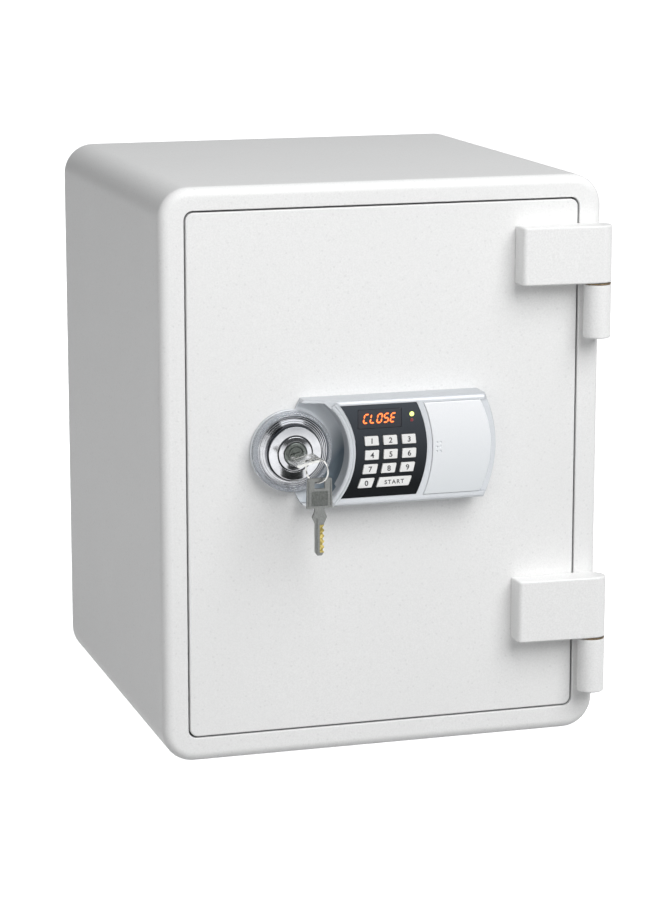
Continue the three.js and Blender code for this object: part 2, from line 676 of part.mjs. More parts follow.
// A flat key in the X-Y plane: the blade's tip at y = 0, the bow towards -Y.
function keyGeometry() {
  const { blade, neck, rail, hole, holeHalf } = KEY_PROFILE;
  const half = [
    [2, 0], [4.05, 3], [4.05, blade], [6.6, blade + 6], [4.4, blade + 11], [4.4, blade + neck],
    [11.6, blade + neck], [10.9, KEY_LENGTH - 1.2], [9.7, KEY_LENGTH],
  ];
  const outline = [
    ...half.map(([x, v]) => [-x, -v]),
    ...[...half].reverse().map(([x, v]) => [x, -v]),
  ];
  const shape = new THREE.Shape(outline.map(([x, y]) => new THREE.Vector2(x, y)));
  const top = -(KEY_LENGTH - rail);
  const window = roundedRectangle({ x0: -holeHalf, x1: holeHalf, z0: top, z1: top + hole }, 0.8, 1);
  shape.holes.push(new THREE.Path(window.map(([x, y]) => new THREE.Vector2(x, y))));
  const geometry = new THREE.ExtrudeGeometry(shape, { depth: KEY_THICKNESS, bevelEnabled: false });
  geometry.translate(0, 0, -KEY_THICKNESS / 2);
  return geometry;
}

const KEY_TIP = FRONT - 22.6 + KEY_PROFILE.blade;

function insertedKey() {
  const geometry = keyGeometry();
  geometry.translate(KNOB_X, KEY_TIP, KNOB_Z);
  return solid(tiltAboutKnob(geometry, -KEY_TILT));
}

function lockPlug() {
  const keyway = new THREE.BoxGeometry(9, KEY_PROFILE.blade + 10, KEY_THICKNESS + 0.6);
  keyway.translate(KNOB_X, KEY_TIP + 0.5 - (KEY_PROFILE.blade + 10) / 2, KNOB_Z);
  return turned([[0, -7.4], [6.5, -7.4], [6.5, 21.8], [6, 22.3], [0, 22.3]], 28)
    .subtract(solid(tiltAboutKnob(keyway, -KEY_TILT)));
}

// The ring stands upright, turned away from the door's plane by RING_TURN.
function keyRing() {
  const geometry = new THREE.TorusGeometry(RING_RADIUS, RING_WIRE, 8, 40);
  geometry.rotateX(Math.PI / 2);
  geometry.rotateZ(THREE.MathUtils.degToRad(RING_TURN));
  geometry.translate(RING_CENTRE.x, RING_CENTRE.y, RING_CENTRE.z);
  return solid(geometry);
}

function spareKey() {
  const { rail } = KEY_PROFILE;
  const holeTop = RING_CENTRE.z - RING_RADIUS + RING_WIRE + GAP;
  const sideways = 2;
  const geometry = keyGeometry();
  geometry.rotateX(-Math.PI / 2);
  geometry.translate(RING_CENTRE.x + sideways, RING_CENTRE.y, holeTop + rail - KEY_LENGTH);
  return solid(geometry);
}

// ----------------------------------------------------------------- assembly

add('body_shell', bodyShell(), WHITE_PAINT);
add('back_panel', backPanel(), WHITE_PAINT);
add('body_insulation', bodyInsulation(), CEMENT);
add('door_jamb', doorJamb(), GREY_PAINT);
add('inner_liner', innerLiner(), GREY_PAINT);
add('door_seal', doorSeal(), RUBBER);
add('shelf', shelf(), GREY_PAINT);
for (const [place, hinge] of Object.entries(HINGES)) {
  add(`hinge_knuckle_${place}`, hingeKnuckle(hinge), WHITE_PAINT);
  add(`hinge_pin_${place}`, hingePin(hinge), STEEL);
  add(`hinge_washer_${place}`, hingeWasher(hinge), BRASS);
  add(`hinge_leaf_${place}`, hingeLeaf(hinge), WHITE_PAINT);
}

add('door_outer_panel', doorOuterPanel(), WHITE_PAINT);
add('door_back_frame', doorBackFrame(), GREY_PAINT);
add('door_insulation', doorInsulation(), CEMENT);
add('mechanism_plate', mechanismPlate(), STEEL);
add('inner_cover', innerCover(), GREY_PAINT);
add('bolt_carriage', boltCarriage(), STEEL);
for (const [place, height] of Object.entries(BOLT_HEIGHTS)) {
  add(`live_bolt_${place}`, liveBolt(height), CHROME);
  add(`dead_bolt_${place}`, deadBolt(height), CHROME);
}
add('guide_bracket_lower', guideBracket(BRACKET_HEIGHTS.lower), STEEL);
add('guide_bracket_upper', guideBracket(BRACKET_HEIGHTS.upper), STEEL);
add('solenoid_body', solenoidBody(), STEEL);
add('solenoid_pin', solenoidPin(), STEEL);
add('signal_cable', signalCable(), RUBBER);

add('lock_housing', lockHousing(), SILVER_PLASTIC);
add('control_fascia', controlFascia(), BLACK_PLASTIC);
add('display_window', displayWindow(), RED_WINDOW);
add('indicator_lamp', indicatorLamp(), GREEN_LAMP);
add('circuit_board', circuitBoard(), CIRCUIT);
for (const key of KEYPAD) {
  add(key.name, button(key), WHITE_PLASTIC);
}
for (let i = 0; i < 4; i++) {
  add(`battery_${i + 1}`, battery(i), CELL);
}
add('battery_cover', batteryCover(), WHITE_PLASTIC);

add('knob_flange', knobFlange(), SILVER_PLASTIC);
add('knob_grip', knobGrip(), CLEAR_PLASTIC);
add('knob_bezel', knobBezel(), CHROME);
add('lock_cylinder', lockCylinder(), NICKEL);
add('knob_spindle', knobSpindle(), STEEL);
add('lock_plug', lockPlug(), BRASS);
add('key_inserted', insertedKey(), NICKEL);
add('key_ring', keyRing(), NICKEL);
add('spare_key', spareKey(), NICKEL);

export default group;
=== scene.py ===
import math

import bmesh
import bpy
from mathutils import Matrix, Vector


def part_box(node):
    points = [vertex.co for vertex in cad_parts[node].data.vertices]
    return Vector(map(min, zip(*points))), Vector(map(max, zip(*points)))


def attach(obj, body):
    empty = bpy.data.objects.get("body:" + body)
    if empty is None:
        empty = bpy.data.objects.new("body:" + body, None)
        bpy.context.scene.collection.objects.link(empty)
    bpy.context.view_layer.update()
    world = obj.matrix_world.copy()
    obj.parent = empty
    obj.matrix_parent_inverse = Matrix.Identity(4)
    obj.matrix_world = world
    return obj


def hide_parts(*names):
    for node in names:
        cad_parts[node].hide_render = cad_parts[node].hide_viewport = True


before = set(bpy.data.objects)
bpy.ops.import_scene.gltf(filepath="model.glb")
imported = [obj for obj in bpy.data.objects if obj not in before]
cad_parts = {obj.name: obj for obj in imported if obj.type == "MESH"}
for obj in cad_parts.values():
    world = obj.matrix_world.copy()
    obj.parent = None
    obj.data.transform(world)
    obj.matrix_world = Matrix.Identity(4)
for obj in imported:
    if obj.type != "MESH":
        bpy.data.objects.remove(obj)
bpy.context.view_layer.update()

# A fire-resistant document safe. Shapes are in millimetres and become metres in the meshes;
# the camera, the lights and the fades in the materials are in metres.
# "Ahead" is the distance in front of the door's face, which looks along -Y.
MM = 0.001
FRONT = -195.0
BACK = 195.0

CASE = (-202.0, 202.0, 0.0, 508.0)
CASE_CORNER = 28.0
CASE_EDGE = 9.0
SKIN = 2.5
OPENING = (-180.1, 180.1, 22.0, 488.0)
DOOR = (-178.5, 178.5, 23.6, 486.4)
DOOR_CORNER = 7.0
OPENING_CORNER = DOOR_CORNER + 1.0

KNOB_X = -87.6
KNOB_Z = 276.6
HOUSING_Z = 275.0
DISH_X = -98.5
DISH_RADIUS = 57.7
KEY_TILT = 12.0

HINGE_X = 193.0
HINGE_Y = FRONT - 13.0
HINGE_RADIUS = 12.2
HINGES = {
    "upper": {"knuckle": (364.0, 411.7), "leaf": (413.7, 465.0)},
    "lower": {"knuckle": (39.0, 88.6), "leaf": (90.6, 147.0)},
}

scene = bpy.context.scene


# ------------------------------------------------------------------- camera

def make_camera():
    down, right = math.radians(11.72), math.radians(16.95)
    data = bpy.data.cameras.new("camera")
    data.sensor_width = 36.0
    data.lens = 119.16
    camera = bpy.data.objects.new("camera", data)
    camera.location = (-0.794, -2.635, 0.803)
    camera.rotation_euler = (math.pi / 2 - down, 0.0, -right)
    data.clip_end = 200.0
    scene.collection.objects.link(camera)
    scene.camera = camera


make_camera()


# ---------------------------------------------------------------- materials

def new_shader(name, metallic=0.0, **sockets):
    """A material with its tree and shader; sockets are set by name, with _ for a space."""
    material = bpy.data.materials.new(name)
    material.use_nodes = True
    shader = material.node_tree.nodes["Principled BSDF"]
    shader.inputs["Metallic"].default_value = metallic
    for socket, value in sockets.items():
        shader.inputs[socket.replace("_", " ")].default_value = value
    return material, material.node_tree, shader


def noise(tree, place, scale, detail=3.0, roughness=0.55):
    node = tree.nodes.new("ShaderNodeTexNoise")
    node.inputs["Scale"].default_value = scale
    node.inputs["Detail"].default_value = detail
    node.inputs["Roughness"].default_value = roughness
    tree.links.new(place, node.inputs["Vector"])
    return node.outputs["Fac"]


def spread(tree, value, low, high, into_low, into_high):
    """Maps a value's range onto another one, clamped."""
    node = tree.nodes.new("ShaderNodeMapRange")
    for socket, number in zip(("From Min", "From Max", "To Min", "To Max"),
                              (low, high, into_low, into_high)):
        node.inputs[socket].default_value = number
    tree.links.new(value, node.inputs["Value"])
    return node.outputs["Result"]


def mixed(tree, factor, first, second):
    """A colour between two; each is a colour or another node's output."""
    node = tree.nodes.new("ShaderNodeMix")
    node.data_type = "RGBA"
    tree.links.new(factor, node.inputs["Factor"])
    for socket, colour in ((node.inputs[6], first), (node.inputs[7], second)):
        if isinstance(colour, bpy.types.NodeSocket):
            tree.links.new(colour, socket)
        else:
            socket.default_value = (*colour, 1.0)
    return node.outputs[2]


def surface(name, first, second, grain, roughness, bump=0.0, bump_grain=None,
            stretch=(1.0, 1.0, 1.0), patch=None, specks=None, fade=None, metallic=0.0, **sockets):
    """Two colours mottled by a fine grain, with uneven gloss and a bump of its own grain.

    A fade is (direction, start, end, tone): the colour turns into the tone along a direction. The fades
    below paint shade and reflected light into the colour.
    """
    material, tree, shader = new_shader(name, metallic, **sockets)
    origin = tree.nodes.new("ShaderNodeTexCoord").outputs["Object"]
    mapping = tree.nodes.new("ShaderNodeMapping")
    mapping.inputs["Scale"].default_value = stretch
    tree.links.new(origin, mapping.inputs["Vector"])
    place = mapping.outputs["Vector"]
    fine = noise(tree, place, grain)
    colour = mixed(tree, spread(tree, fine, 0.35, 0.65, 0.0, 1.0), first, second)
    if patch:
        wide = spread(tree, noise(tree, place, patch[0], 2.0), 0.35, 0.7, 0.0, patch[1])
        colour = mixed(tree, wide, colour, first)
    if specks:
        cells = tree.nodes.new("ShaderNodeTexVoronoi")
        cells.inputs["Scale"].default_value = specks[0]
        tree.links.new(place, cells.inputs["Vector"])
        dots = spread(tree, cells.outputs["Distance"], specks[1], specks[1] * 2, specks[2], 0.0)
        colour = mixed(tree, dots, colour, specks[3])
    if fade:
        direction, start, end, tone = fade
        along = tree.nodes.new("ShaderNodeVectorMath")
        along.operation = "DOT_PRODUCT"
        along.inputs[1].default_value = direction
        tree.links.new(origin, along.inputs[0])
        colour = mixed(tree, spread(tree, along.outputs["Value"], start, end, 0.0, 1.0), colour, tone)
    tree.links.new(colour, shader.inputs["Base Color"])
    uneven = noise(tree, place, grain * 0.31, 2.0)
    tree.links.new(spread(tree, uneven, 0.3, 0.7, *roughness), shader.inputs["Roughness"])
    if bump:
        node = tree.nodes.new("ShaderNodeBump")
        node.inputs["Strength"].default_value = bump
        node.inputs["Distance"].default_value = 0.0004
        tree.links.new(noise(tree, place, bump_grain or grain, 2.0), node.inputs["Height"])
        tree.links.new(node.outputs["Normal"], shader.inputs["Normal"])
    return material


UP = (0.0, 0.0, 1.0)

PAINT = surface("white_powder_coat", (0.80, 0.80, 0.795), (0.86, 0.86, 0.855), 900.0,
                (0.42, 0.55), bump=0.30, bump_grain=420.0, patch=(9.0, 0.35),
                specks=(160.0, 0.10, 0.20, (0.55, 0.55, 0.55)))
HINGE_PAINT = surface("white_hinge_coat", (0.80, 0.80, 0.795), (0.87, 0.87, 0.865), 700.0,
                      (0.40, 0.52), bump=0.45, bump_grain=300.0)
INNER_PAINT = surface("grey_inner_coat", (0.52, 0.53, 0.54), (0.60, 0.61, 0.62), 800.0,
                      (0.45, 0.6), bump=0.30, bump_grain=420.0, patch=(12.0, 0.4))
MINERAL = surface("mineral_fill", (0.42, 0.40, 0.36), (0.60, 0.58, 0.53), 260.0,
                  (0.85, 0.98), bump=0.9, bump_grain=180.0)
RUBBER = surface("seal_rubber", (0.018, 0.018, 0.019), (0.035, 0.035, 0.037), 500.0,
                 (0.7, 0.85), bump=0.25)
JACKET = surface("cable_jacket", (0.02, 0.02, 0.02), (0.04, 0.04, 0.042), 420.0, (0.5, 0.65),
                 bump=0.1)
WORN_BRASS = surface("worn_brass", (0.10, 0.075, 0.05), (0.22, 0.16, 0.09), 500.0, (0.4, 0.6),
                     bump=0.1, metallic=0.6)
STEEL = surface("plain_steel", (0.42, 0.43, 0.44), (0.58, 0.59, 0.60), 240.0, (0.28, 0.42),
                bump=0.06, stretch=(0.15, 1.0, 1.0), metallic=1.0)
CHROME = surface("chrome", (0.36, 0.365, 0.38), (0.42, 0.425, 0.44), 120.0, (0.06, 0.11),
                 metallic=1.0)
# The crown's chrome turns dark towards its top: painted shade that dims the reflected highlight there.
CROWN_CHROME_SHADED_TOP = surface("crown_chrome_painted_shade", (0.36, 0.365, 0.38), (0.42, 0.425, 0.44), 120.0,
                       (0.09, 0.14), fade=(UP, 0.284, 0.302, (0.17, 0.175, 0.185)), metallic=1.0)
SILVER = surface("silver_plastic", (0.50, 0.52, 0.545), (0.59, 0.61, 0.635), 2600.0, (0.38, 0.48),
                 bump=0.05, bump_grain=1500.0, metallic=0.35)
# The dish's silver: a lighter copy of the housing's silver, which is painted light, turning dark steel-blue
# towards its lower right, which is painted shade.
DISH = surface("dish_silver_painted_light_and_shade", (0.66, 0.69, 0.72), (0.74, 0.77, 0.80), 2600.0, (0.34, 0.42),
               bump=0.05, bump_grain=1500.0, fade=((0.87, 0.0, -0.5), -0.192, -0.174, (0.13, 0.165, 0.195)),
               metallic=0.2)
# The black panel turns lighter and bluer towards its top: a painted reflection.
BLACK = surface("black_panel", (0.002, 0.003, 0.004), (0.004, 0.005, 0.006), 900.0,
                (0.28, 0.36), bump=0.02, fade=(UP, 0.245, 0.335, (0.075, 0.085, 0.10)),
                Specular_IOR_Level=0.08)
# The lid turns grey towards its bottom: painted shade.
LID = surface("white_lid_plastic", (0.90, 0.91, 0.93), (0.94, 0.95, 0.97), 1300.0,
              (0.30, 0.40), bump=0.06, bump_grain=900.0,
              fade=(UP, 0.318, 0.225, (0.66, 0.69, 0.71)))
KEYCAP = surface("button_plastic", (0.80, 0.80, 0.79), (0.86, 0.86, 0.85), 1500.0,
                 (0.35, 0.45), bump=0.05, bump_grain=900.0)
LEGEND = surface("legend_ink", (0.012, 0.012, 0.014), (0.03, 0.03, 0.034), 1200.0, (0.4, 0.55))
CIRCUIT = surface("circuit_green", (0.010, 0.07, 0.03), (0.02, 0.12, 0.05), 150.0, (0.35, 0.5),
                  bump=0.1)
CELL = surface("cell_sleeve", (0.02, 0.05, 0.09), (0.04, 0.08, 0.13), 200.0, (0.25, 0.35),
               stretch=(0.2, 1.0, 1.0), metallic=0.3)
NICKEL = surface("nickel", (0.40, 0.40, 0.39), (0.48, 0.48, 0.465), 900.0, (0.20, 0.30),
                 bump=0.05, bump_grain=1400.0, metallic=1.0)
# The loose key's nickel, darker than the door key's.
KEY_GREY = surface("dark_key_nickel", (0.13, 0.135, 0.13), (0.18, 0.185, 0.18), 900.0, (0.34, 0.46),
                   bump=0.06, bump_grain=1400.0, metallic=0.85)
# A darker copy of the loose key's nickel for its sunk panels and grooves: painted shade in the recesses.
KEY_RECESS_SHADE = surface("nickel_recess_painted_shade", (0.07, 0.075, 0.07), (0.11, 0.115, 0.11), 900.0,
                   (0.40, 0.52), bump=0.10, bump_grain=1400.0, metallic=0.7)
KEY_BRASS = surface("key_brass", (0.16, 0.13, 0.04), (0.42, 0.34, 0.12), 420.0, (0.22, 0.36),
                    bump=0.05, metallic=0.95)
CYLINDER = surface("cylinder_nickel", (0.09, 0.10, 0.093), (0.15, 0.165, 0.155), 700.0,
                   (0.28, 0.40), bump=0.05, metallic=1.0)
CLEAR = surface("clear_plastic", (0.66, 0.69, 0.73), (0.75, 0.78, 0.82), 300.0, (0.04, 0.09),
                Transmission_Weight=0.72, IOR=1.49)


def glowing(name, colour, glow, strength, grain=900.0):
    """A lit face: its glow is a little uneven."""
    material, tree, shader = new_shader(name, Roughness=0.3)
    place = tree.nodes.new("ShaderNodeTexCoord").outputs["Object"]
    fine = noise(tree, place, grain)
    tree.links.new(mixed(tree, fine, colour, glow), shader.inputs["Base Color"])
    tree.links.new(mixed(tree, fine, glow, colour), shader.inputs["Emission Color"])
    shader.inputs["Emission Strength"].default_value = strength
    return material


SEGMENT_CORE = glowing("segment_core", (1.0, 0.30, 0.07), (1.0, 0.16, 0.02), 1.5)
SEGMENT_HALO = glowing("segment_halo", (0.50, 0.022, 0.003), (0.30, 0.010, 0.002), 0.8)
# The readout glass turns lighter towards its top: a painted reflection.
READOUT = surface("readout_glass", (0.004, 0.004, 0.005), (0.008, 0.006, 0.007), 500.0,
                  (0.28, 0.36), fade=(UP, 0.245, 0.335, (0.075, 0.078, 0.090)),
                  Specular_IOR_Level=0.08)
GREEN_LAMP = glowing("lamp_green", (0.80, 0.95, 0.12), (0.95, 1.0, 0.42), 1.1)
RED_LAMP = glowing("lamp_red", (0.22, 0.008, 0.015), (0.12, 0.004, 0.008), 0.15)

NODE_LOOKS = {
    "back_panel": PAINT, "body_insulation": MINERAL, "door_insulation": MINERAL,
    "door_jamb": INNER_PAINT, "inner_liner": INNER_PAINT, "shelf": INNER_PAINT,
    "door_back_frame": INNER_PAINT, "inner_cover": INNER_PAINT, "door_seal": RUBBER,
    "signal_cable": JACKET, "circuit_board": CIRCUIT, "mechanism_plate": STEEL,
    "live_bolt_lower": CHROME, "live_bolt_upper": CHROME,
    "dead_bolt_lower": CHROME, "dead_bolt_upper": CHROME, "lock_plug": CYLINDER,
}


def dress_cad_nodes():
    """Every CAD node gets a look here; those that a finer piece replaces are hidden later."""
    for name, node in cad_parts.items():
        look = NODE_LOOKS.get(name, CELL if name.startswith("battery_") else STEEL)
        node.data.materials.clear()
        node.data.materials.append(look)


dress_cad_nodes()


# ------------------------------------------------------------ shape helpers

def piece(name, shape, look, body, node=None, smooth=32.0):
    """A mesh from (points in mm, faces) that rides on a body and may stand for a CAD node."""
    points, faces = shape
    mesh = bpy.data.meshes.new(name)
    mesh.from_pydata([[c * MM for c in point] for point in points], [], faces)
    tidy = bmesh.new()
    tidy.from_mesh(mesh)
    bmesh.ops.remove_doubles(tidy, verts=tidy.verts, dist=1e-7)
    bmesh.ops.recalc_face_normals(tidy, faces=tidy.faces)
    tidy.to_mesh(mesh)
    tidy.free()
    mesh.shade_smooth()
    mesh.set_sharp_from_angle(angle=math.radians(smooth))
    mesh.materials.append(look)
    made = bpy.data.objects.new(name, mesh)
    scene.collection.objects.link(made)
    normals = made.modifiers.new("normals", "WEIGHTED_NORMAL")
    normals.keep_sharp = True
    normals.weight = 100
    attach(made, body)
    if node:
        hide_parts(*([node] if isinstance(node, str) else node))
    return made


def give_faces(made, look, chosen):
    """A second look for the faces that are chosen by their centre in mm and their normal."""
    made.data.materials.append(look)
    for face in made.data.polygons:
        if chosen(face.center / MM, face.normal):
            face.material_index = 1


def arc(cx, cy, radius, start, end, steps):
    """Points on a circle between two angles in degrees, both ends included."""
    return [(cx + radius * math.cos(math.radians(start + (end - start) * i / steps)),
             cy + radius * math.sin(math.radians(start + (end - start) * i / steps)))
            for i in range(steps + 1)]


def rounded_rectangle(rectangle, radius, steps=10):
    """An anticlockwise outline of (x0, x1, z0, z1) with round corners."""
    x0, x1, z0, z1 = rectangle
    return (arc(x1 - radius, z0 + radius, radius, -90, 0, steps)
            + arc(x1 - radius, z1 - radius, radius, 0, 90, steps)
            + arc(x0 + radius, z1 - radius, radius, 90, 180, steps)
            + arc(x0 + radius, z0 + radius, radius, 180, 270, steps))


def inset(rectangle, distance):
    x0, x1, z0, z1 = rectangle
    return (x0 + distance, x1 - distance, z0 + distance, z1 - distance)


def bow(x_end, z_from, z_to, sagitta, steps=24):
    """The points of a bowed side from one end to the other."""
    return [(x_end + 4 * sagitta * t * (1 - t), z_from + (z_to - z_from) * t)
            for t in (i / steps for i in range(steps + 1))]


def bowed_panel(left, right, z0, z1, left_bow, right_bow, margin=0.0):
    """A panel with straight top and bottom edges and ends that both bow to the right."""
    return (bow(right + margin, z0 - margin, z1 + margin, right_bow)
            + bow(left - margin, z1 + margin, z0 - margin, left_bow))


def softened(points, radius, steps=4):
    """The same closed run of points with its corners rounded off."""
    made = []
    count = len(points)
    for i, point in enumerate(points):
        corner = Vector(point)
        before = Vector(points[i - 1]) - corner
        after = Vector(points[(i + 1) % count]) - corner
        reach = min(radius, 0.45 * before.length, 0.45 * after.length)
        start = corner + before.normalized() * reach
        end = corner + after.normalized() * reach
        for k in range(steps + 1):
            t = k / steps
            made.append(tuple(start * (1 - t) ** 2 + corner * 2 * t * (1 - t) + end * t ** 2))
    return made


def moved_in(outline, distance):
    """An anticlockwise outline moved inwards by a distance."""
    if not distance:
        return list(outline)
    moved = []
    count = len(outline)
    for i in range(count):
        point = Vector(outline[i])
        first = (point - Vector(outline[i - 1])).normalized()
        second = (Vector(outline[(i + 1) % count]) - point).normalized()
        normal = Vector((-first.y, first.x))
        middle = (normal + Vector((-second.y, second.x))).normalized()
        moved.append(tuple(point + middle * (distance / max(0.35, middle.dot(normal)))))
    return moved


def loft(rings, loop=False):
    """Quads between rings of equally many points; the ends are capped unless it is a loop."""
    count = len(rings[0])
    faces = []
    for r in range(len(rings) if loop else len(rings) - 1):
        here, there = r * count, (r + 1) % len(rings) * count
        for i in range(count):
            j = (i + 1) % count
            faces.append((here + i, here + j, there + j, there + i))
    if not loop:
        last = (len(rings) - 1) * count
        faces.append(tuple(reversed(range(count))))
        faces.append(tuple(range(last, last + count)))
    return [point for ring in rings for point in ring], faces


def on_door(u, v, ahead):
    """A point given by its X, its Z and how far it is ahead of the door's face."""
    return (u, FRONT - ahead, v)


def upright(u, v, height):
    """A point of a horizontal outline, for a prism that stands up."""
    return (u, v, height)


def prism(outline, low, high, low_edge=0.0, high_edge=0.0, steps=5, place=on_door):
    """An outline as thick as low to high, with rounded edges at either end."""
    sections = []
    if low_edge:
        sections += [(low_edge * (1 - math.sin(a)), low + low_edge * (1 - math.cos(a)))
                     for a in (k * math.pi / 2 / steps for k in range(steps + 1))]
    else:
        sections.append((0.0, low))
    if high_edge:
        sections += [(high_edge * (1 - math.cos(a)), high - high_edge * (1 - math.sin(a)))
                     for a in (k * math.pi / 2 / steps for k in range(steps + 1))]
    else:
        sections.append((0.0, high))
    return loft([[place(u, v, w) for u, v in moved_in(outline, d)] for d, w in sections])


def turned(profile, centre=(KNOB_X, KNOB_Z), segments=96, solid=False):
    """Turned about an axis along Y, from (radius, ahead) pairs."""
    angles = [2 * math.pi * i / segments for i in range(segments)]
    rings = [[on_door(centre[0] + radius * math.cos(a), centre[1] + radius * math.sin(a), ahead)
              for a in angles] for radius, ahead in profile]
    return loft(rings, loop=not solid)


def box_shape(x0, x1, y0, y1, z0, z1):
    return prism([(x0, y0), (x1, y0), (x1, y1), (x0, y1)], z0, z1, place=upright)


def cut(shape, *cutters):
    """A shape less the cutters, by exact booleans."""
    made = []
    for points, faces in (shape, *cutters):
        mesh = bpy.data.meshes.new("cut")
        mesh.from_pydata(points, [], faces)
        work = bmesh.new()
        work.from_mesh(mesh)
        bmesh.ops.recalc_face_normals(work, faces=work.faces)
        work.to_mesh(mesh)
        work.free()
        made.append(bpy.data.objects.new("cut", mesh))
        scene.collection.objects.link(made[-1])
    for cutter in made[1:]:
        modifier = made[0].modifiers.new("cut", "BOOLEAN")
        modifier.operation = "DIFFERENCE"
        modifier.solver = "EXACT"
        modifier.object = cutter
    graph = bpy.context.evaluated_depsgraph_get()
    graph.update()
    result = made[0].evaluated_get(graph).to_mesh()
    points = [tuple(v.co) for v in result.vertices]
    faces = [tuple(p.vertices) for p in result.polygons]
    for temporary in made:
        bpy.data.objects.remove(temporary)
    return points, faces


# --------------------------------------------------------------------- case

def case_ring(distance, y):
    """The case's outline at a depth, moved in by a distance."""
    return [(x, y, z) for x, z in rounded_rectangle(inset(CASE, distance), CASE_CORNER - distance)]


def edge_run(start, end, steps=8):
    """Quarter-turn angles from one end of a rounded edge to the other."""
    return [math.radians(start + (end - start) * i / steps) for i in range(steps + 1)]


def make_case():
    """One closed skin: in round the back opening, over the outside, in at the door, and back inside."""
    back_opening = inset(CASE, 20.0)
    back_corner = 14.0
    lip = 0.8
    rings = [[(x, BACK - SKIN, z) for x, z in rounded_rectangle(back_opening, back_corner)],
             [(x, BACK - lip, z) for x, z in rounded_rectangle(back_opening, back_corner)],
             [(x, BACK, z) for x, z in rounded_rectangle(inset(back_opening, -lip), back_corner + lip)]]
    for a in edge_run(90, 0):
        rings.append(case_ring(CASE_EDGE * (1 - math.cos(a)), BACK - CASE_EDGE * (1 - math.sin(a))))
    for a in edge_run(0, 90):
        rings.append(case_ring(CASE_EDGE * (1 - math.cos(a)), FRONT + CASE_EDGE * (1 - math.sin(a))))
    for a in edge_run(0, 90, 4):
        flare = lip * (1 - math.sin(a))
        outline = rounded_rectangle(inset(OPENING, -flare), OPENING_CORNER + flare)
        rings.append([(x, FRONT + lip * (1 - math.cos(a)), z) for x, z in outline])
    rings.append([(x, FRONT + SKIN, z) for x, z in rounded_rectangle(OPENING, OPENING_CORNER)])
    inner = CASE_EDGE - 2.0
    rings.append(case_ring(SKIN + inner, FRONT + SKIN))
    rings.append(case_ring(SKIN, FRONT + SKIN + inner))
    rings.append(case_ring(SKIN, BACK - SKIN - inner))
    rings.append(case_ring(SKIN + inner, BACK - SKIN))
    piece("case_shell", loft(rings, loop=True), PAINT, "safe_body", "body_shell")


make_case()


# -------------------------------------------------------------------- hinges

HINGE_BACK = FRONT - 0.3
HINGE_BORE = 5.3
RING_GAP = 0.3


def hinge_leaf(place, low, high):
    end, thickness, corner = 120.0, 21.5, 4.0
    outline = ([(end, HINGE_BACK), (end, FRONT - thickness + corner)]
               + arc(end + corner, FRONT - thickness + corner, corner, 180, 270, 12)[1:]
               + arc(HINGE_X, HINGE_Y, HINGE_RADIUS, -90, 75, 28)
               + [(HINGE_X, HINGE_BACK)])
    shape = prism(outline, low, high, 1.6, 1.8, steps=6, place=upright)
    piece(f"hinge_leaf_body_{place}", shape, HINGE_PAINT, "door", f"hinge_leaf_{place}")


def hinge_barrel(place, low, high):
    foot = 6.5
    outline = (arc(HINGE_X, HINGE_Y, HINGE_RADIUS, 135, 405, 54)
               + [(HINGE_X + foot, HINGE_BACK), (HINGE_X - foot, HINGE_BACK)])
    shape = prism(outline, low, high, 1.8, 0.8, steps=6, place=upright)
    piece(f"hinge_barrel_{place}", shape, HINGE_PAINT, "safe_body", f"hinge_knuckle_{place}")


def hinge_ring(place, low, high):
    """The washer between a knuckle and its leaf."""
    outer = arc(HINGE_X, HINGE_Y, HINGE_RADIUS - RING_GAP, 0, 360, 48)[:-1]
    inner = arc(HINGE_X, HINGE_Y, HINGE_BORE, 0, 360, 48)[:-1]
    edge = 0.25
    rings = [[(x, y, low) for x, y in inner], [(x, y, low) for x, y in moved_in(outer, edge)],
             [(x, y, low + edge) for x, y in outer], [(x, y, high - edge) for x, y in outer],
             [(x, y, high) for x, y in moved_in(outer, edge)], [(x, y, high) for x, y in inner]]
    piece(f"hinge_ring_{place}", loft(rings, loop=True), WORN_BRASS, "safe_body",
          f"hinge_washer_{place}")


for place, hinge in HINGES.items():
    hinge_leaf(place, *hinge["leaf"])
    hinge_barrel(place, *hinge["knuckle"])
    hinge_ring(place, hinge["knuckle"][1] + RING_GAP, hinge["leaf"][0] - RING_GAP)


# ---------------------------------------------------------------------- door

DOOR_SKIN = 2.0
SPINDLE_BORE = 9.2
CABLE_BORE = 5.0
CABLE_X = 20.0


def make_door_panel():
    """The door's outer skin: a shallow tray, open at the back."""
    panel = prism(rounded_rectangle(DOOR, DOOR_CORNER), -10.7, 0.0, high_edge=1.2)
    hollow = prism(rounded_rectangle(inset(DOOR, DOOR_SKIN), DOOR_CORNER - DOOR_SKIN), -16.0, -DOOR_SKIN)
    spindle_bore = turned([(SPINDLE_BORE, -9.0), (SPINDLE_BORE, 5.0)], solid=True)
    cable_bore = turned([(CABLE_BORE, -9.0), (CABLE_BORE, 5.0)], (CABLE_X, HOUSING_Z), 32, solid=True)
    piece("door_panel", cut(panel, hollow, spindle_bore, cable_bore), PAINT, "door",
          "door_outer_panel")


make_door_panel()


# -------------------------------------------------------------- lock housing

# Panels and their openings are (left, right, z0, z1, left bow, right bow).
FASCIA = (-48.6, 20.6, 235.5, 317.0, 14.6, 10.0)
COVER = (27.4, 79.5, 234.5, 316.2, 8.6, 10.4)
BATTERY_BAY = (35.0, 76.0, 244.0, 306.0, 5.0, 5.0)
HOUSING_TOP = 25.0
HOUSING_HALF = 47.0
TOP_WALL = 2.6
FASCIA_TOP = 25.6
BUTTON_TOP = 27.0
WINDOW = (-33.0, 7.0, 296.0, 313.0)
KEY_ROWS = (285.2, 272.7, 260.3, 248.1)
KEY_COLUMNS = (-20.0, -3.0, 14.0)
BUTTON_WIDTH = 12.6
BUTTON_HEIGHT = 8.3
START_X = 5.5
START_WIDTH = 29.6
LAMP_X = 16.3
GREEN_LAMP_Z = 307.0
RED_LAMP_Z = 301.8
THROUGH = (15.0, 35.0)


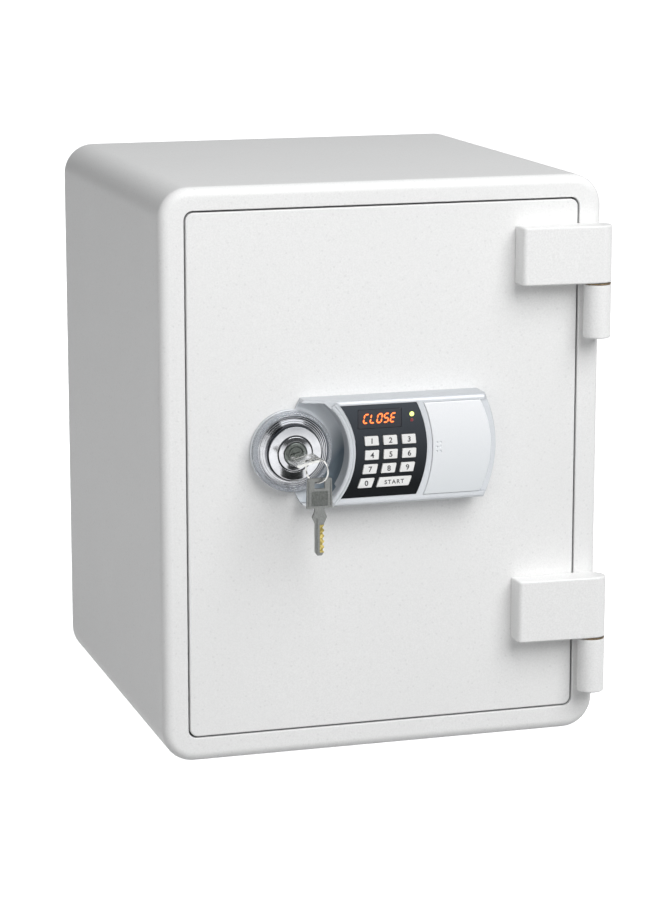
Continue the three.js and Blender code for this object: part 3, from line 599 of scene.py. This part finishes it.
def bowl_hollow(segments=128):
    """The dish round the knob: a flat floor, then a wall that steepens up to the rim.

    It stops short of the housing's top and bottom, which keep a wall of their own.
    """
    # How far the centre is from the knob's axis to the dish's, then radius and ahead.
    run = [(0.0, 37.0, 2.5), (0.06, 39.5, 2.9), (0.2, 44.5, 4.6), (0.4, 49.5, 7.6),
           (0.6, 53.2, 11.6), (0.8, 55.8, 16.4), (0.92, 57.1, 20.6), (1.0, DISH_RADIUS + 0.3, 25.4),
           (1.0, DISH_RADIUS + 0.3, 32.0)]
    rings = []
    for t, radius, ahead in run:
        cx = KNOB_X + (DISH_X - KNOB_X) * t
        cz = KNOB_Z + (HOUSING_Z - KNOB_Z) * t
        rings.append([on_door(x, z, ahead) for x, z in arc(cx, cz, radius, 0, 360, segments)[:-1]])
    reach = HOUSING_HALF - TOP_WALL
    limits = [box_shape(-200.0, 0.0, FRONT - 40.0, FRONT, z0, z1)
              for z0, z1 in ((HOUSING_Z + reach, HOUSING_Z + 70.0), (HOUSING_Z - 70.0, HOUSING_Z - reach))]
    return cut(loft(rings), *limits)


def make_housing():
    z0, z1 = HOUSING_Z - HOUSING_HALF, HOUSING_Z + HOUSING_HALF
    outline = bow(85.0, z0, z1, 11.0) + bow(-78.0, z1, z0, -13.0)
    body = prism(outline, 0.3, HOUSING_TOP, high_edge=5.0, steps=6)
    # Cuts the housing's left end down towards the knob.
    ramp = prism([(-110.0, FRONT - 40.0), (-48.0, FRONT - 40.0), (-48.0, FRONT - HOUSING_TOP),
                  (-80.0, FRONT - 12.0), (-110.0, FRONT - 10.0)], 200.0, 350.0, place=upright)
    inside = prism(rounded_rectangle((-36.0, 81.0, 236.0, 314.0), 6.0), -5.0, 20.5)
    fit, above = 0.3, 30.0
    fascia_seat = prism(bowed_panel(*FASCIA, margin=fit), 23.5, above)
    key_window = prism(rounded_rectangle((-35.0, 22.0, 240.0, 312.0), 2.0), 15.0, above)
    # The cover slides out to the right, so its seat runs on past the housing's end.
    left, _, c0, c1, left_bow, _ = COVER
    past_end = 120.0
    cover_seat = prism([(past_end, c0 - fit), (past_end, c1 + fit)]
                       + bow(left - fit, c1 + fit, c0 - fit, left_bow), 23.0, above)
    bay = prism(bowed_panel(*BATTERY_BAY), 15.0, above)
    shape = cut(body, ramp, bowl_hollow(), inside, fascia_seat, key_window, cover_seat, bay)
    case = piece("lock_case", shape, SILVER, "door", "lock_housing", smooth=28.0)

    def in_dish(centre, normal):
        from_axis = math.hypot(centre.x - DISH_X, centre.z - HOUSING_Z)
        ahead = FRONT - centre.y
        return normal.y < -0.2 and 2.0 < ahead < HOUSING_TOP - 0.1 and from_axis < DISH_RADIUS

    # The dish's faces take the lighter silver with its painted shade.
    give_faces(case, DISH, in_dish)


make_housing()


def rim_section():
    """The raised rim between the dish and the keypad: (outwards, ahead) pairs."""
    return [(0.25, 24.4), (0.6, 25.4), (1.5, 25.9), (2.3, 25.6), (2.7, 25.15), (3.6, 25.1),
            (4.0, 25.5), (4.8, 25.95), (5.8, 25.8), (6.3, 25.2), (6.3, 24.4)]


def make_dish_rim():
    """An arc of rim round the dish's edge, as far as the housing's top and bottom edges."""
    rings = []
    steps = 64
    reach = 44.5
    for i in range(steps + 1):
        angle = math.radians(-reach + 2 * reach * i / steps)
        rings.append([on_door(DISH_X + (DISH_RADIUS + out) * math.cos(angle),
                              HOUSING_Z + (DISH_RADIUS + out) * math.sin(angle), ahead)
                      for out, ahead in rim_section()])
    piece("dish_rim", loft(rings), SILVER, "door")


make_dish_rim()


def lean(z):
    """The keypad's columns curve to the left above and below the middle, by this much."""
    return -0.0065 * (z - 277.0) ** 2


def button_outline(x, z, width, margin=0.0):
    """A button's outline, slanted and placed by the lean at its own height."""
    half = width / 2 + margin
    z0, z1 = z - BUTTON_HEIGHT / 2 - margin, z + BUTTON_HEIGHT / 2 + margin
    corners = [(x - half + lean(z0), z0), (x + half + lean(z0), z0),
               (x + half + lean(z1), z1), (x - half + lean(z1), z1)]
    return softened(corners, 0.7, 3)


def keypad():
    """Each button's label, body, node, centre and width."""
    rows = []
    for digit in range(1, 10):
        rows.append((str(digit), f"press_{digit}", f"button_{digit}",
                     KEY_COLUMNS[(digit - 1) % 3], KEY_ROWS[(digit - 1) // 3], BUTTON_WIDTH))
    rows.append(("0", "press_0", "button_0", KEY_COLUMNS[0], KEY_ROWS[3], BUTTON_WIDTH))
    rows.append(("START", "press_start", "button_start", START_X, KEY_ROWS[3], START_WIDTH))
    return rows


def lettering(text, size, spacing, thicken):
    """A word as a flat mesh in mm, centred on the origin, extruded a little."""
    curve = bpy.data.curves.new("lettering", "FONT")
    curve.body = text
    curve.size = size
    curve.space_character = spacing
    curve.offset = thicken
    curve.align_x = "CENTER"
    curve.align_y = "CENTER"
    curve.extrude = 0.04
    holder = bpy.data.objects.new("lettering", curve)
    scene.collection.objects.link(holder)
    graph = bpy.context.evaluated_depsgraph_get()
    mesh = holder.evaluated_get(graph).to_mesh()
    points = [tuple(v.co) for v in mesh.vertices]
    faces = [tuple(p.vertices) for p in mesh.polygons]
    bpy.data.objects.remove(holder)
    xs, ys = [p[0] for p in points], [p[1] for p in points]
    cx, cy = (min(xs) + max(xs)) / 2, (min(ys) + max(ys)) / 2
    return [(x - cx, y - cy, z) for x, y, z in points], faces


def make_buttons():
    digit_style = {"size": 6.6, "spacing": 1.0, "thicken": 0.135}
    word_style = {"size": 5.0, "spacing": 1.32, "thicken": 0.10}
    for label, body, node, x, z, width in keypad():
        outline = button_outline(x, z, width)
        shape = prism(outline, BUTTON_TOP - 5.0, BUTTON_TOP, high_edge=0.45, steps=3)
        piece(f"cap_{label.lower()}", shape, KEYCAP, body, node)
        points, faces = lettering(label, **(word_style if label == "START" else digit_style))
        placed = [on_door(x + lean(z) + u, z + v, BUTTON_TOP + 0.03 + w) for u, v, w in points]
        piece(f"legend_{label.lower()}", (placed, faces), LEGEND, body)


make_buttons()


def make_fascia():
    panel = prism(bowed_panel(*FASCIA), FASCIA_TOP - 1.8, FASCIA_TOP, high_edge=0.25, steps=3)
    holes = [prism(button_outline(x, z, width, 0.35), *THROUGH)
             for *_, x, z, width in keypad()]
    lamp_bore = 2.2
    lamp_hole = turned([(lamp_bore, ahead) for ahead in THROUGH], (LAMP_X, GREEN_LAMP_Z), 32, solid=True)
    window = prism(rounded_rectangle(WINDOW, 1.0, 3), *THROUGH)
    piece("keypad_panel", cut(panel, *holes, lamp_hole, window), BLACK, "door",
          "control_fascia")
    glass = prism(rounded_rectangle(inset(WINDOW, 0.3), 1.0, 3), FASCIA_TOP - 1.8,
                  FASCIA_TOP - 0.05, high_edge=0.15, steps=2)
    piece("readout_glass", glass, READOUT, "door", "display_window")
    dome = [(2.05, 21.8), (2.05, 25.7), (1.9, 26.2), (1.5, 26.7), (0.9, 27.0), (0.25, 27.1)]
    piece("green_lamp", turned(dome, (LAMP_X, GREEN_LAMP_Z), 32, solid=True), GREEN_LAMP, "door",
          "indicator_lamp")
    dome = [(1.55, 25.4), (1.5, 25.7), (1.2, 25.85), (0.7, 25.95), (0.2, 25.98)]
    piece("red_lamp", turned(dome, (LAMP_X, RED_LAMP_Z), 32, solid=True), RED_LAMP, "door")


make_fascia()

SEGMENTS = {"C": "adef", "L": "def", "O": "abcdef", "S": "acdfg", "E": "adefg"}
DIGIT_WIDTH = 3.9
DIGIT_HEIGHT = 7.5
DIGIT_PITCH = 6.1
FIRST_DIGIT_X = -25.3
DIGIT_Z = 304.9
SLANT = 0.19


def segment_outline(name, thickness):
    """One bar of a seven-segment figure, centred on the figure, with pointed ends."""
    half_w, half_h, t = DIGIT_WIDTH / 2, DIGIT_HEIGHT / 2, thickness / 2
    gap = 0.25
    centres = {"a": (0, half_h), "g": (0, 0), "d": (0, -half_h),
               "b": (half_w, half_h / 2), "c": (half_w, -half_h / 2),
               "f": (-half_w, half_h / 2), "e": (-half_w, -half_h / 2)}
    cx, cz = centres[name]
    if name in "agd":
        reach = half_w - gap
        bar = [(-reach, 0), (-reach + t, -t), (reach - t, -t), (reach, 0), (reach - t, t),
               (-reach + t, t)]
    else:
        reach = half_h / 2 - gap
        bar = [(0, -reach), (t, -reach + t), (t, reach - t), (0, reach), (-t, reach - t),
               (-t, -reach + t)]
    return [(cx + u + SLANT * (cz + v), cz + v) for u, v in bar]


def make_readout():
    """Each letter is a bright core over a wider, dimmer glow."""
    for i, letter in enumerate("CLOSE"):
        cx = FIRST_DIGIT_X + i * DIGIT_PITCH
        for layer, look, thickness, ahead in (("glow", SEGMENT_HALO, 1.9, 25.62),
                                              ("core", SEGMENT_CORE, 1.0, 25.68)):
            points, faces = [], []
            for name in SEGMENTS[letter]:
                outline = [(cx + u, DIGIT_Z + v) for u, v in segment_outline(name, thickness)]
                bar_points, bar_faces = prism(outline, ahead - 0.05, ahead)
                faces += [tuple(k + len(points) for k in face) for face in bar_faces]
                points += bar_points
            piece(f"figure_{i + 1}_{layer}", (points, faces), look, "door")


make_readout()


def make_lid():
    """The sliding battery cover, with six grip dots sunk into it."""
    lid = prism(bowed_panel(*COVER), 23.3, 26.0, high_edge=0.7, steps=4)
    dots = []
    for x in (39.6, 43.0):
        for z in (272.4, 276.4, 280.4):
            dots.append(turned([(0.15, 24.9), (0.8, 25.2), (1.15, 26.4)], (x, z), 24, solid=True))
    piece("battery_lid", cut(lid, *dots), LID, "battery_door", "battery_cover")


make_lid()


# --------------------------------------------------------------------- knob

OUTER_GROOVE = 24.2
INNER_GROOVE = 15.4
GRIP_RADIUS = 35.6


def make_knob():
    skirt = softened([(20.0, 0.3), (36.0, 0.3), (36.0, 2.4), (34.8, 3.1), (20.0, 3.1)], 0.6)
    piece("knob_skirt", turned(skirt), SILVER, "knob", "knob_flange")
    ring = [(32.0, 3.6), (34.8, 3.6), (GRIP_RADIUS, 5.2)]
    for ahead in (6.8, 8.8, 10.8):
        ring += [(GRIP_RADIUS, ahead - 0.4), (GRIP_RADIUS - 0.5, ahead), (GRIP_RADIUS, ahead + 0.4)]
    ring += [(GRIP_RADIUS, 12.2), (34.8, 13.3), (34.3, 13.2), (33.8, 13.9), (33.3, 13.7), (32.6, 14.0),
             (32.0, 13.5)]
    piece("knob_ring", turned(softened(ring, 0.35, 3)), CLEAR, "knob", "knob_grip")
    crown = [(10.4, 4.2), (31.8, 4.2), (31.8, 10.8)]
    for radius in (31.0, 29.3, 27.6, 25.9):
        crown += [(radius, 22.4 - 0.36 * radius), (radius - 0.5, 22.2 - 0.36 * radius)]
    crown += [(OUTER_GROOVE + 0.5, 16.6), (OUTER_GROOVE + 0.5, 15.4),
              (OUTER_GROOVE - 0.5, 15.4), (OUTER_GROOVE - 0.5, 19.0), (OUTER_GROOVE - 0.9, 19.3),
              (INNER_GROOVE + 0.8, 19.5), (INNER_GROOVE + 0.4, 19.2), (INNER_GROOVE + 0.4, 17.4),
              (INNER_GROOVE - 0.4, 17.4), (INNER_GROOVE - 0.4, 19.6), (INNER_GROOVE - 0.8, 20.0),
              (10.8, 20.6), (10.4, 20.3)]
    # The crown wears the chrome with a painted shade over its top.
    piece("knob_crown", turned(softened(crown, 0.3, 3), segments=128), CROWN_CHROME_SHADED_TOP, "knob",
          "knob_bezel", smooth=40.0)
    # Black bands laid in the crown's two grooves: painted shade, a dark ring where the grooves only lie in
    # shadow.
    for place, radius, low, high in (("outer", OUTER_GROOVE, 15.5, 17.6),
                                     ("inner", INNER_GROOVE, 17.5, 18.7)):
        band = [(radius - 0.4, low), (radius + 0.35, low), (radius + 0.35, high - 0.3),
                (radius, high), (radius - 0.4, high - 0.2)]
        piece(f"knob_groove_shade_{place}", turned(band), BLACK, "knob")
    collar = softened([(6.8, 4.2), (10.1, 4.2), (10.1, 21.3), (9.3, 22.0), (6.8, 22.0)], 0.35, 3)
    piece("cylinder_collar", turned(collar, segments=64), CYLINDER, "knob", "lock_cylinder")


make_knob()


# --------------------------------------------------------------------- keys

KEY_THICKNESS = 2.4
KEY_BLADE = 28.0
KEY_LENGTH = 68.0
# The right half of a key from its tip: (half width, distance from the tip).
KEY_HALF = [(2.0, 0.0), (4.05, 3.0), (4.05, 28.0), (6.6, 34.0), (4.4, 39.0), (4.4, 41.5),
            (11.6, 41.5), (10.9, 66.8), (9.7, 68.0)]
SCALLOP = 1.5
# The brass track: (left, right, from, to) along the blade.
TRACK = (0.1, 4.0, 2.4, 27.2)


def flat(u, v, w):
    """A key's own coordinates: across, along and through."""
    return (u, v, w)


def key_outline():
    left = [(-x, v) for x, v in KEY_HALF]
    return softened([(x, v) for x, v in KEY_HALF] + list(reversed(left)), 0.6, 3)


def key_blank():
    """The steel blank: a hole and sunk panels in the head, a groove and a notch in the blade."""
    half = KEY_THICKNESS / 2
    blank = prism(key_outline(), -half, half, 0.25, 0.25, 2, flat)
    hole = rounded_rectangle((-4.6, 4.6, KEY_LENGTH - 9.2, KEY_LENGTH - 3.2), 0.8, 3)
    left, right, low, high = TRACK
    cutters = [prism(hole, -5.0, 5.0, place=flat),
               prism(rounded_rectangle((left, right + 2.0, low, high), 0.3, 2), -5.0, 5.0, place=flat)]
    # The head's wide panel, its two side grooves and the blade's groove, on both faces.
    for side in (-1, 1):
        for panel, radius, depth in (((-7.4, 7.4, 43.6, 56.6), 1.0, 0.30),
                                     ((-10.1, -9.3, 43.4, 65.6), 0.3, 0.35),
                                     ((9.3, 10.1, 43.4, 65.6), 0.3, 0.35),
                                     ((-2.9, -2.1, 2.0, 33.0), 0.3, 0.35)):
            sunk = sorted((side * (half - depth), side * 5.0))
            cutters.append(prism(rounded_rectangle(panel, radius, 2), *sunk, place=flat))
    return cut(blank, *cutters)


def key_track():
    """The brass track in the notch, with a scalloped edge and dimples on both faces."""
    half = KEY_THICKNESS / 2 - 0.05
    left, right, low, high = TRACK
    steps = 50
    edge = []
    for i in range(steps + 1):
        t = i / steps
        depth = SCALLOP * (0.5 - 0.5 * math.cos(10 * math.pi * t))
        edge.append((right - depth, low + 0.3 + (high - low - 0.6) * t))
    outline = [(left + 0.05, low + 0.3)] + edge + [(left + 0.05, high - 0.3)]
    dimples = []
    for side in (-1, 1):
        for k in range(5):
            v = low + 2.6 + 4.9 * k
            dimples.append(loft([[(1.4 + r * math.cos(a), v + r * math.sin(a), side * (half + w))
                                  for a in (2 * math.pi * i / 20 for i in range(20))]
                                 for r, w in ((0.35, -0.45), (1.1, 0.3))]))
    return cut(prism(outline, -half, half, place=flat), *dimples)


def make_keys():
    tilt = math.radians(KEY_TILT)
    tip = FRONT - 22.6 + KEY_BLADE
    low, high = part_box("spare_key")
    hang_x, hang_y = (low.x + high.x) / 2 / MM, (low.y + high.y) / 2 / MM

    def in_lock(u, v, w):
        return (KNOB_X + u * math.cos(tilt) - w * math.sin(tilt), tip - v,
                KNOB_Z + u * math.sin(tilt) + w * math.cos(tilt))

    def hanging(u, v, w):
        return (hang_x + u, hang_y - w, low.z / MM + v)

    blank, track = key_blank(), key_track()
    for name, place, body, node, look in (("door_key", in_lock, "main_key", "key_inserted", NICKEL),
                                          ("loose_key", hanging, "second_key", "spare_key", KEY_GREY)):
        for suffix, shape, finish, stands_for, slot in (("", blank, look, node, "nickel"),
                                                        ("_track", track, KEY_BRASS, None, "brass")):
            points = [place(*point) for point in shape[0]]
            made = piece(name + suffix, (points, shape[1]), finish, body, stands_for)
            if name == "loose_key" and not suffix:
                # The loose key's sunk faces take the darker nickel: painted shade.
                give_faces(made, KEY_RECESS_SHADE, lambda centre, normal: abs(normal.y) > 0.9
                           and abs(centre.y - hang_y) < KEY_THICKNESS / 2 - 0.2)


make_keys()


def make_ring():
    """A split ring of two turns of wire side by side."""
    low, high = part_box("key_ring")
    centre = (low + high) / 2 / MM
    radius, wire, turns, steps = 10.8, 0.58, 2, 192
    across = Vector((math.cos(math.radians(-45)), math.sin(math.radians(-45)), 0.0))
    up = Vector((0.0, 0.0, 1.0))
    side = across.cross(up)
    rings = []
    for i in range(steps + 1):
        a = math.radians(30) + 2 * math.pi * (turns - 0.06) * i / steps
        out = across * math.cos(a) + up * math.sin(a)
        drift = 2.1 * wire * min(1.0, max(-1.0, 10 * (i / steps - 0.5)))
        middle = centre + out * radius + side * (drift / 2)
        rings.append([tuple(middle + out * (wire * math.cos(b)) + side * (wire * math.sin(b)))
                      for b in (2 * math.pi * k / 12 for k in range(12))])
    piece("split_ring", loft(rings), NICKEL, "ring", "key_ring")


make_ring()


# -------------------------------------------------------------- back screws

def make_back_screws():
    arm = 0.45
    places = [(x, z) for z in (34, 474, 254) for x in (-172, 172)]
    for i, (x, z) in enumerate(places):
        head = [(3.6, 0.0), (3.6, 0.5), (3.1, 1.2), (2.0, 1.65), (0.8, 1.8)]
        rings = [[(x + r * math.cos(a), BACK - 2.8 + h, z + r * math.sin(a))
                  for a in (2 * math.pi * k / 32 for k in range(32))] for r, h in head]
        slots = [box_shape(x - 2.0, x + 2.0, BACK - 2.0, BACK, z - arm, z + arm),
                 box_shape(x - arm, x + arm, BACK - 2.0, BACK, z - 2.0, z + 2.0)]
        piece(f"back_screw_{i + 1}", cut(loft(rings), *slots), STEEL, "safe_body")


make_back_screws()


# ---------------------------------------------------------- floor and lights

def make_floor():
    radius, count = 40.0, 96
    mesh = bpy.data.meshes.new("floor")
    points = [(radius * math.cos(2 * math.pi * i / count), radius * math.sin(2 * math.pi * i / count),
               -0.0004) for i in range(count)]
    mesh.from_pydata(points, [], [tuple(range(count))])
    mesh.materials.append(surface("pale_floor", (0.88, 0.88, 0.88), (0.90, 0.90, 0.90), 3.0,
                                  (0.75, 0.85), Emission_Color=(1.0, 1.0, 1.0, 1.0),
                                  Emission_Strength=1.0))
    floor = bpy.data.objects.new("floor", mesh)
    floor.visible_diffuse = False
    scene.collection.objects.link(floor)


def area_light(name, location, target, size, power):
    data = bpy.data.lights.new(name, "AREA")
    data.shape = "RECTANGLE"
    data.size, data.size_y = size
    data.energy = power
    light = bpy.data.objects.new(name, data)
    light.location = location
    aim = Vector(target) - Vector(location)
    light.rotation_euler = aim.to_track_quat("-Z", "Y").to_euler()
    scene.collection.objects.link(light)


def make_world():
    world = bpy.data.worlds.new("studio")
    scene.world = world
    world.use_nodes = True
    tree = world.node_tree
    background = tree.nodes["Background"]
    place = tree.nodes.new("ShaderNodeTexCoord").outputs["Generated"]
    split = tree.nodes.new("ShaderNodeSeparateXYZ")
    tree.links.new(place, split.inputs["Vector"])
    strength = spread(tree, split.outputs["X"], -1.0, 1.0, 0.0, 0.22)
    for axis_value, glow in ((1.0, 0.33), (-1.0, 0.30)):
        total = tree.nodes.new("ShaderNodeMath")
        tree.links.new(strength, total.inputs[0])
        tree.links.new(spread(tree, split.outputs["Z"], 0.0, axis_value, 0.0, glow), total.inputs[1])
        strength = total.outputs["Value"]
    tree.links.new(strength, background.inputs["Strength"])
    background.inputs["Color"].default_value = (0.97, 0.985, 1.0, 1.0)


scene.view_settings.view_transform = "Standard"
make_floor()
make_world()
area_light("key_light", (0.9, -2.6, 2.6), (0.0, -0.2, 0.4), (2.8, 2.8), 120.0)
area_light("left_fill", (-1.9, -2.6, 0.9), (0.0, -0.2, 0.25), (1.6, 1.6), 15.0)
area_light("side_fill", (-2.6, -0.6, 0.9), (0.0, 0.0, 0.25), (1.6, 1.6), 6.0)
